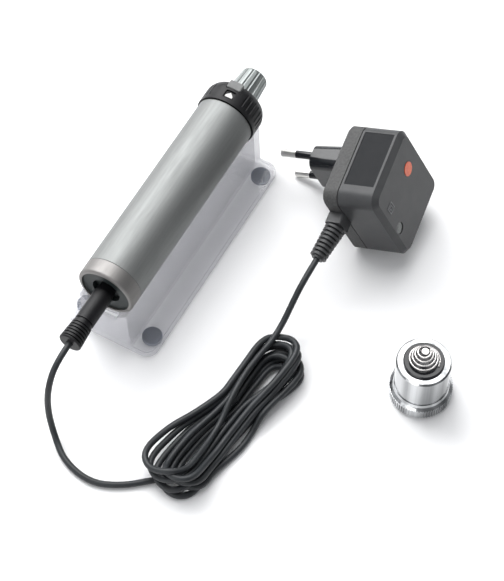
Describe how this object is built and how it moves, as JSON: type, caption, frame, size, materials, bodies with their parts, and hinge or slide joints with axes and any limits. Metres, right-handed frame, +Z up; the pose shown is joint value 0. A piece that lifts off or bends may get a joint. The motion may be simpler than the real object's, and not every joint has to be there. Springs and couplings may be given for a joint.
{
  "type": "otoscope handle with charger",
  "caption": "Rechargeable otoscope handle lying on a clear desk rest, with charging lead, loose bundle of cord, plug-in mains supply and a spare battery cap with spring.",
  "frame": {"origin": "on the desk, under the middle of the rest, with the handle's axis above it", "axes": "+Y along the handle towards the instrument end, +Z up, +X towards the supply"},
  "size_m": [0.1865, 0.2255, 0.06],
  "materials": {
    "clear_plastic": "clear moulded, glossy",
    "grey_rubber": "matt",
    "satin_chrome": "satin, fine brushed",
    "bright_nickel": "bright plated",
    "black_plastic": "satin black",
    "socket_plastic": "satin greenish black",
    "grey_plastic": "satin light grey",
    "charcoal_plastic": "fine spark-eroded texture",
    "gloss_black_plastic": "glossy",
    "white_paint": "white inlay",
    "orange_mark": "printed",
    "lens_plastic": "tinted lens",
    "lead_jacket": "satin",
    "brass": "machined",
    "steel": "bright wire",
    "board_green": "solder resist",
    "battery_wrap": "shrink wrap over steel",
    "core_iron": "laminated iron",
    "copper_winding": "enamelled wire",
    "insulator_white": "matt"
  },
  "bodies": {
    "rest_and_supply": {"rest_shell": "clear_plastic", "rest_feet": "grey_rubber", "lead_run": "lead_jacket", "lead_bundle": "lead_jacket", "lead_tail": "lead_jacket", "supply_front_shell": "charcoal_plastic", "supply_back_shell": "charcoal_plastic", "supply_side_panel": "gloss_black_plastic", "supply_screws": "steel", "mains_neck": "gloss_black_plastic", "mains_pins": "bright_nickel", "pin_sleeves": "black_plastic", "supply_dot": "orange_mark", "status_lens": "lens_plastic", "transformer_core": "core_iron", "transformer_winding": "copper_winding", "supply_board": "board_green", "supply_strain_relief": "charcoal_plastic"},
    "handle": {"handle_tube": "satin_chrome", "charging_insert": "satin_chrome", "socket_disc": "socket_plastic", "socket_sleeve": "bright_nickel", "socket_pin": "bright_nickel", "charging_board": "board_green", "battery_spring": "steel", "battery_cell": "battery_wrap", "battery_terminal": "bright_nickel", "contact_plate": "brass", "core_insulator": "insulator_white", "head_core": "black_plastic", "rheostat_track": "brass", "fluted_collar": "satin_chrome", "socket_insulator": "black_plastic", "contact_spring": "steel", "lead_stub": "lead_jacket"},
    "rheostat_ring": {"rheostat_ring": "black_plastic", "index_mark": "white_paint", "wiper": "brass", "button_spring": "steel"},
    "lock_button": {"lock_button": "grey_plastic"},
    "contact_pin": {"contact_pin": "brass"},
    "charging_plug": {"plug_body": "black_plastic", "plug_barrel": "bright_nickel", "plug_insulator": "black_plastic", "plug_contact": "bright_nickel", "plug_strain_relief": "black_plastic"},
    "spare_cap": {"cap_body": "bright_nickel", "cap_insulator": "black_plastic", "cap_spring": "steel", "cap_contact": "steel"}
  },
  "joints": [
    {"name": "handle_lift", "type": "slide", "parent": "rest_and_supply", "child": "handle", "axis": [0, 0, 1], "range_m": [0, 0.045]},
    {"name": "charging_plug_pull", "type": "slide", "parent": "handle", "child": "charging_plug", "axis": [0, -1, 0], "range_m": [0, 0.011]},
    {"name": "rheostat_turn", "type": "hinge", "parent": "handle", "child": "rheostat_ring", "pos_m": [0, 0.06, 0.04125], "axis": [0, 1, 0], "range_deg": [0, 90]},
    {"name": "lock_button_press", "type": "slide", "parent": "rheostat_ring", "child": "lock_button", "axis": [0, 0, -1], "range_m": [0, 0.0012], "stiffness_N_per_m": 300, "springref_m": -0.001, "deforming": ["button_spring"]},
    {"name": "contact_pin_press", "type": "slide", "parent": "handle", "child": "contact_pin", "axis": [0, -1, 0], "range_m": [0, 0.0015], "stiffness_N_per_m": 300, "springref_m": -0.001, "deforming": ["contact_spring"]},
    {"name": "spare_cap_lift", "type": "slide", "parent": "rest_and_supply", "child": "spare_cap", "axis": [0, 0, 1], "range_m": [0, 0.05]}
  ]
}
